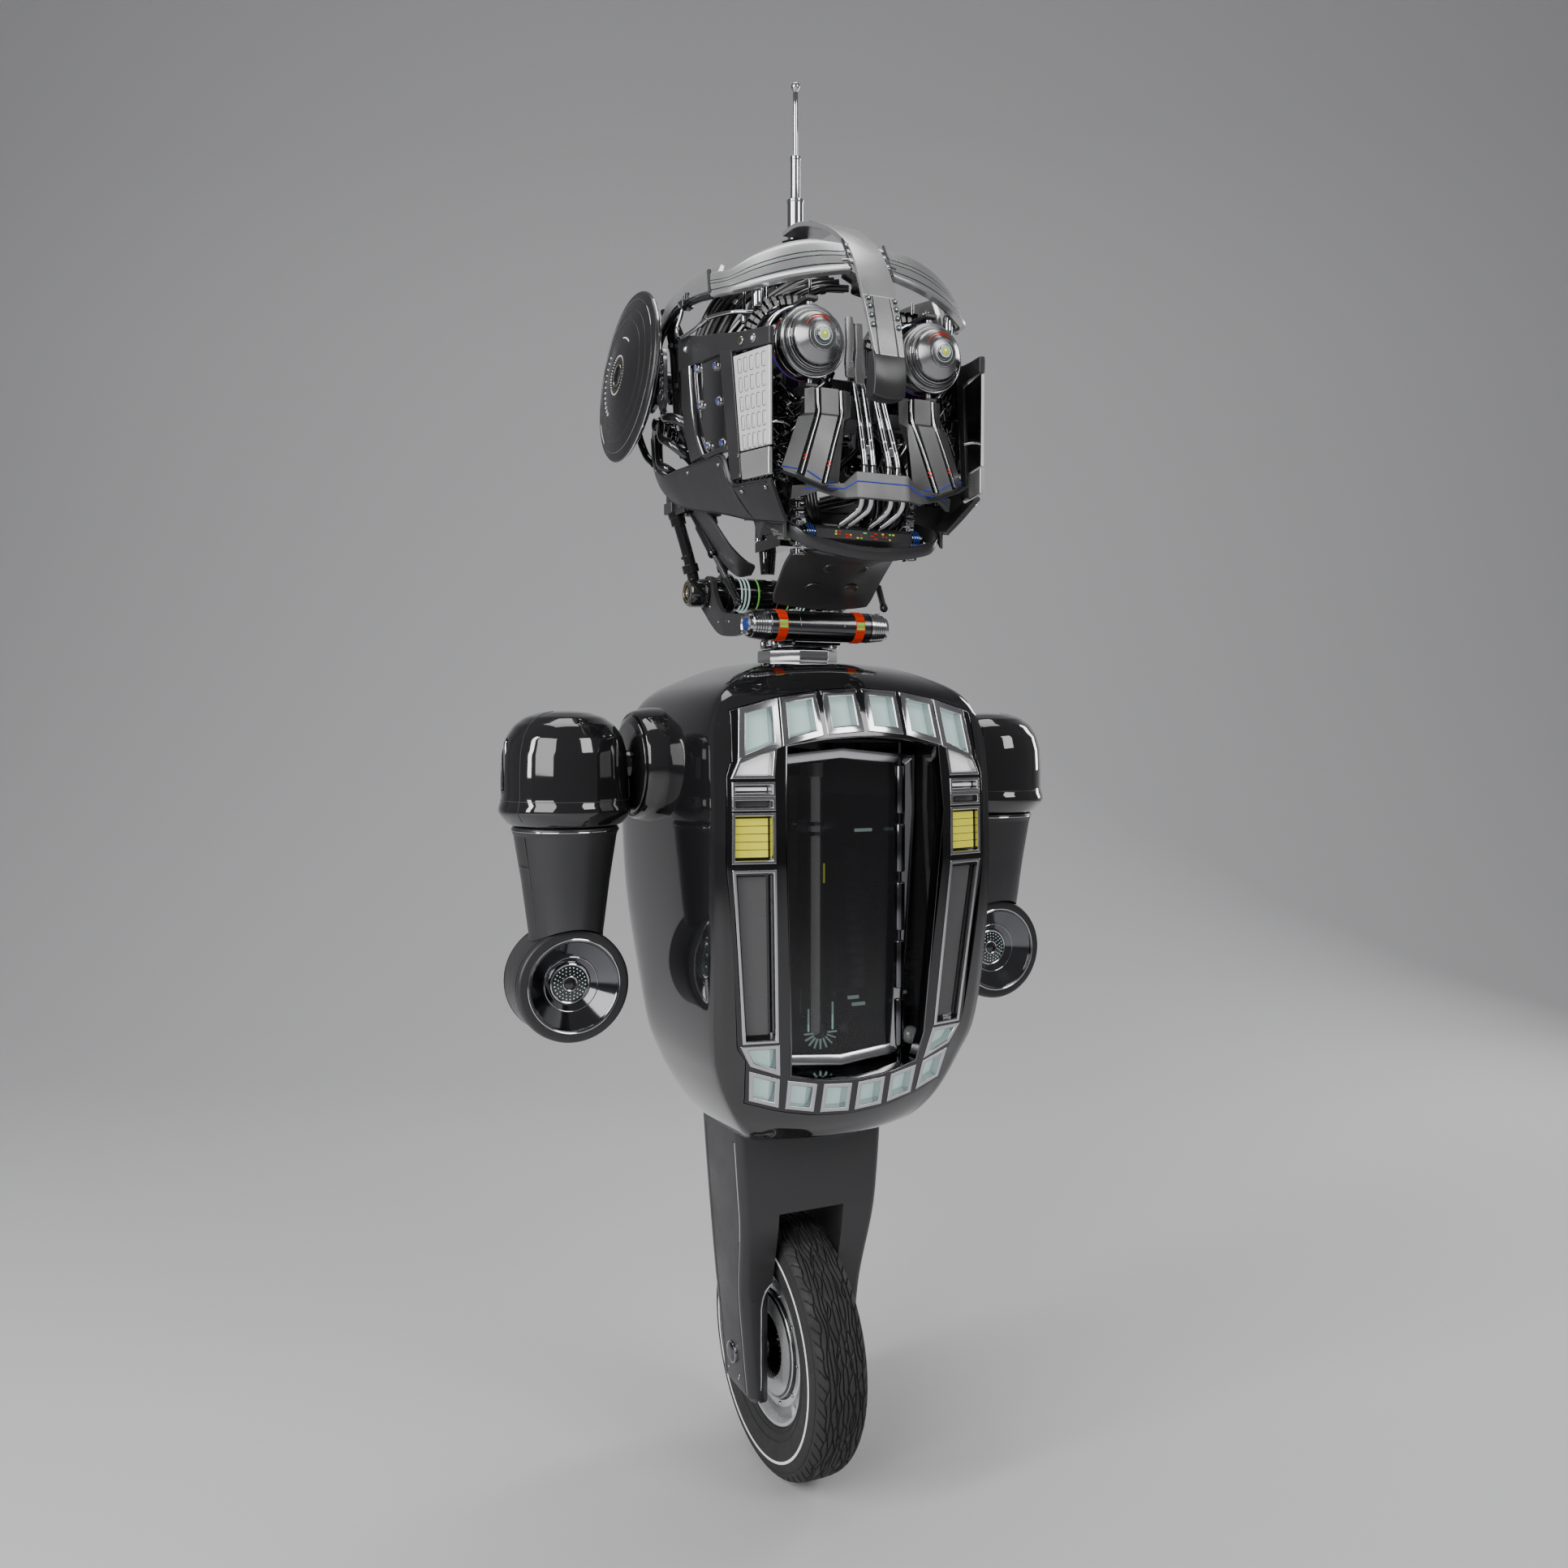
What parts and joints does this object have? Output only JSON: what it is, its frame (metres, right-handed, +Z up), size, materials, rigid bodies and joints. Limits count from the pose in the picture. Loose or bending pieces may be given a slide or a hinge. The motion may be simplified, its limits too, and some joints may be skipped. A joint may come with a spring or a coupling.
{
  "type": "self balancing robot",
  "caption": "Self-balancing robot on one driven wheel in a fork, with a barrel torso, glazed chest bay, drum-ended arms and a mechanical head on a pitching and turning neck.",
  "frame": {"origin": "the point where the tyre meets the floor, straight below the axle", "axes": "+Z up, the robot faces -Y, and its left side is +X"},
  "size_m": [0.485, 0.2894, 1.1446],
  "materials": {
    "gloss_black": "deep gloss black moulding",
    "satin_black": "satin black moulding",
    "dark_anodised": "satin black anodised aluminium",
    "chrome": "polished chrome",
    "brushed_grey": "brushed grey steel",
    "silver_alloy": "satin silver cast alloy",
    "motor_black": "black painted motor casing",
    "winding_steel": "laminated core steel",
    "tyre_rubber": "moulded black tyre rubber with wavy sipes",
    "smoked_glass": "smoked glass",
    "clear_glass": "clear glass",
    "lit_acrylic": "back-lit pale cyan acrylic",
    "lens_grey": "turned grey lens barrel with coated glass",
    "lamp_mirror": "polished reflector cone",
    "battery_wrap": "blue heat-shrink wrap",
    "circuit_board": "green solder mask",
    "bellows_rubber": "ribbed black rubber boot over a shaft"
  },
  "bodies": {
    "torso": {"fork_shell": "dark_anodised", "axle": "chrome", "motor_stator": "winding_steel", "torso_shell": "gloss_black", "window_bezel": "chrome", "light_guide": "lit_acrylic", "chest_liner": "satin_black", "sight_tube": "clear_glass", "battery_pack": "battery_wrap", "control_board": "circuit_board", "shoulder_shaft": "bellows_rubber", "neck_collar": "chrome"},
    "wheel": {"tyre": "tyre_rubber", "wheel_rim": "silver_alloy", "hub_rotor": "motor_black"},
    "door": {"chest_door": "smoked_glass"},
    "neck_turret": {"neck_turntable": "dark_anodised", "neck_pitch_drive": "chrome"},
    "neck_link": {"neck_link": "dark_anodised", "head_pitch_drive": "gloss_black"},
    "head": {"skull_frame": "satin_black", "skull_strap": "brushed_grey", "lip_band": "satin_black", "nose_tubes": "chrome", "mouth_bar": "satin_black", "antenna_base": "chrome", "brow_plate_left": "brushed_grey", "cheek_frame_left": "satin_black", "cheek_grille_left": "brushed_grey", "side_shell_left": "gloss_black", "nose_guard_left": "satin_black", "ear_bracket_left": "satin_black", "head_strut_left": "dark_anodised", "brow_plate_right": "brushed_grey", "cheek_frame_right": "satin_black", "cheek_grille_right": "brushed_grey", "side_shell_right": "gloss_black", "nose_guard_right": "satin_black", "ear_bracket_right": "satin_black", "head_strut_right": "dark_anodised"},
    "jaw": {"jaw_frame": "satin_black", "chin_plate": "satin_black"},
    "antenna_middle": {"antenna_middle": "chrome"},
    "antenna_tip": {"antenna_tip": "chrome"},
    "eye_left": {"eye_left": "lens_grey"},
    "ear_dish_left": {"ear_dish_left": "gloss_black"},
    "gas_sleeve_left": {"gas_sleeve_left": "dark_anodised"},
    "gas_rod_left": {"gas_rod_left": "chrome"},
    "upper_arm_left": {"shoulder_cap_left": "gloss_black"},
    "forearm_left": {"forearm_left": "satin_black", "hand_drum_left": "satin_black", "hand_lamp_left": "lamp_mirror"},
    "eye_right": {"eye_right": "lens_grey"},
    "ear_dish_right": {"ear_dish_right": "gloss_black"},
    "gas_sleeve_right": {"gas_sleeve_right": "dark_anodised"},
    "gas_rod_right": {"gas_rod_right": "chrome"},
    "upper_arm_right": {"shoulder_cap_right": "gloss_black"},
    "forearm_right": {"forearm_right": "satin_black", "hand_drum_right": "satin_black", "hand_lamp_right": "lamp_mirror"}
  },
  "joints": [
    {"name": "wheel_spin", "type": "hinge", "parent": "torso", "child": "wheel", "pos_m": [0, 0, 0.108], "axis": [1, 0, 0], "continuous": true},
    {"name": "door_hinge", "type": "hinge", "parent": "torso", "child": "door", "pos_m": [0.052, -0.096, 0.49], "axis": [0, 0, 1], "range_deg": [0, 75]},
    {"name": "neck_yaw", "type": "hinge", "parent": "torso", "child": "neck_turret", "pos_m": [0, -0.02, 0.692], "axis": [0, 0, 1], "range_deg": [-70, 70]},
    {"name": "neck_pitch", "type": "hinge", "parent": "neck_turret", "child": "neck_link", "pos_m": [0, -0.054, 0.707], "axis": [1, 0, 0], "range_deg": [-12, 12]},
    {"name": "head_pitch", "type": "hinge", "parent": "neck_link", "child": "head", "pos_m": [0, 0.038, 0.739], "axis": [-1, 0, 0], "range_deg": [0, 14]},
    {"name": "jaw_hinge", "type": "hinge", "parent": "head", "child": "jaw", "pos_m": [0, -0.062, 0.792], "axis": [1, 0, 0], "range_deg": [0, 12]},
    {"name": "antenna_middle_slide", "type": "slide", "parent": "head", "child": "antenna_middle", "axis": [0, 0, -1], "range_m": [0, 0.034]},
    {"name": "antenna_tip_slide", "type": "slide", "parent": "antenna_middle", "child": "antenna_tip", "axis": [0, 0, -1], "range_m": [0, 0.051]},
    {"name": "eye_left_pan", "type": "hinge", "parent": "head", "child": "eye_left", "pos_m": [0.0493, -0.14, 0.9], "axis": [0, 0, 1], "range_deg": [-20, 20]},
    {"name": "eye_right_pan", "type": "hinge", "parent": "head", "child": "eye_right", "pos_m": [-0.0493, -0.14, 0.9], "axis": [0, 0, 1], "range_deg": [-20, 20]},
    {"name": "ear_left_spin", "type": "hinge", "parent": "head", "child": "ear_dish_left", "pos_m": [0.114, 0.05, 0.912], "axis": [0.9942, 0, 0.108], "continuous": true},
    {"name": "gas_sleeve_left_pivot", "type": "hinge", "parent": "head", "child": "gas_sleeve_left", "pos_m": [0.08, 0.02, 0.808], "axis": [1, 0, 0], "range_deg": [0, 9]},
    {"name": "gas_rod_left_slide", "type": "slide", "parent": "gas_sleeve_left", "child": "gas_rod_left", "axis": [-0.1384, -0.6252, -0.7681], "range_m": [0, 0.0137]},
    {"name": "shoulder_left", "type": "hinge", "parent": "torso", "child": "upper_arm_left", "pos_m": [0.192, -0.008, 0.598], "axis": [-1, 0, 0], "range_deg": [-40, 110]},
    {"name": "forearm_left_twist", "type": "hinge", "parent": "upper_arm_left", "child": "forearm_left", "pos_m": [0.192, -0.008, 0.553], "axis": [0, 0, 1], "range_deg": [-90, 90]},
    {"name": "ear_right_spin", "type": "hinge", "parent": "head", "child": "ear_dish_right", "pos_m": [-0.114, 0.05, 0.912], "axis": [-0.9942, 0, 0.108], "continuous": true},
    {"name": "gas_sleeve_right_pivot", "type": "hinge", "parent": "head", "child": "gas_sleeve_right", "pos_m": [-0.08, 0.02, 0.808], "axis": [1, 0, 0], "range_deg": [0, 9]},
    {"name": "gas_rod_right_slide", "type": "slide", "parent": "gas_sleeve_right", "child": "gas_rod_right", "axis": [0.1384, -0.6252, -0.7681], "range_m": [0, 0.0137]},
    {"name": "shoulder_right", "type": "hinge", "parent": "torso", "child": "upper_arm_right", "pos_m": [-0.192, -0.008, 0.598], "axis": [-1, 0, 0], "range_deg": [-40, 110]},
    {"name": "forearm_right_twist", "type": "hinge", "parent": "upper_arm_right", "child": "forearm_right", "pos_m": [-0.192, -0.008, 0.553], "axis": [0, 0, 1], "range_deg": [-90, 90]}
  ],
  "couplings": [
    {"joint": "eye_right_pan", "follows": "eye_left_pan", "ratio": 1},
    {"joint": "gas_sleeve_left_pivot", "follows": "head_pitch", "ratio": 0.607},
    {"joint": "gas_rod_left_slide", "follows": "head_pitch", "m_per_rad": 0.0546},
    {"joint": "gas_sleeve_right_pivot", "follows": "head_pitch", "ratio": 0.607},
    {"joint": "gas_rod_right_slide", "follows": "head_pitch", "m_per_rad": 0.0546}
  ]
}
